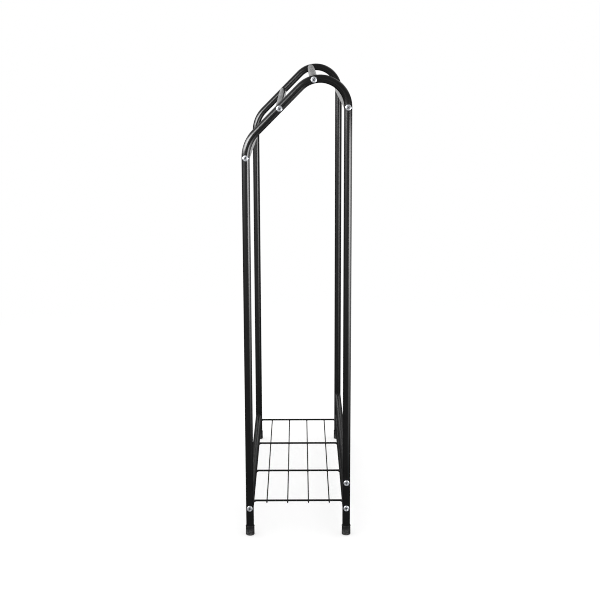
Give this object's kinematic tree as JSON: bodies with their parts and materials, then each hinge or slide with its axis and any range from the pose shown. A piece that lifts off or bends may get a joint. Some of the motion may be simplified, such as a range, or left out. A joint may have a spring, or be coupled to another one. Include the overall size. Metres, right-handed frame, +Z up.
{
  "type": "valet stand",
  "caption": "Free-standing clothes stand with bent tube side frames, stepped hanging rails along a sloped top, and a wire shoe shelf near the floor.",
  "frame": {"origin": "on the floor, midway between the four feet", "axes": "+X along the rails, towards the side frame that is nearer in the picture; +Y from the low front to the high rear; +Z up"},
  "size_m": [0.6396, 0.2188, 0.945],
  "materials": {
    "black_powder_coat": "semi-gloss black powder coat on steel tube and wire",
    "zinc_plated_steel": "bright zinc plating with a faint blue cast",
    "plug_steel": "plain turned steel, hidden inside the rail ends",
    "foot_rubber": "matte dark grey moulded rubber"
  },
  "bodies": {
    "root": {"side_frame_left": "black_powder_coat", "side_frame_right": "black_powder_coat", "hanging_rail_shoulder": "black_powder_coat", "hanging_rail_slope": "black_powder_coat", "hanging_rail_top": "black_powder_coat", "hanging_rail_rear": "black_powder_coat", "shelf_rail_front": "black_powder_coat", "shelf_rail_rear": "black_powder_coat", "heel_rail": "black_powder_coat", "cross_wire_1": "black_powder_coat", "cross_wire_2": "black_powder_coat", "cross_wire_3": "black_powder_coat", "cross_wire_4": "black_powder_coat", "long_wire_1": "black_powder_coat", "long_wire_2": "black_powder_coat", "long_wire_3": "black_powder_coat", "long_wire_4": "black_powder_coat", "screw_left_hanging_rail_shoulder": "zinc_plated_steel", "screw_left_hanging_rail_slope": "zinc_plated_steel", "screw_left_hanging_rail_top": "zinc_plated_steel", "screw_left_hanging_rail_rear": "zinc_plated_steel", "screw_left_shelf_rail_front": "zinc_plated_steel", "screw_left_shelf_rail_rear": "zinc_plated_steel", "screw_left_heel_rail": "zinc_plated_steel", "screw_right_hanging_rail_shoulder": "zinc_plated_steel", "screw_right_hanging_rail_slope": "zinc_plated_steel", "screw_right_hanging_rail_top": "zinc_plated_steel", "screw_right_hanging_rail_rear": "zinc_plated_steel", "screw_right_shelf_rail_front": "zinc_plated_steel", "screw_right_shelf_rail_rear": "zinc_plated_steel", "screw_right_heel_rail": "zinc_plated_steel", "plug_left_hanging_rail_shoulder": "plug_steel", "plug_left_hanging_rail_slope": "plug_steel", "plug_left_hanging_rail_top": "plug_steel", "plug_left_hanging_rail_rear": "plug_steel", "plug_left_shelf_rail_front": "plug_steel", "plug_left_shelf_rail_rear": "plug_steel", "plug_left_heel_rail": "plug_steel", "plug_right_hanging_rail_shoulder": "plug_steel", "plug_right_hanging_rail_slope": "plug_steel", "plug_right_hanging_rail_top": "plug_steel", "plug_right_hanging_rail_rear": "plug_steel", "plug_right_shelf_rail_front": "plug_steel", "plug_right_shelf_rail_rear": "plug_steel", "plug_right_heel_rail": "plug_steel", "foot_left_front": "foot_rubber", "foot_left_rear": "foot_rubber", "foot_right_front": "foot_rubber", "foot_right_rear": "foot_rubber"}
  },
  "joints": []
}
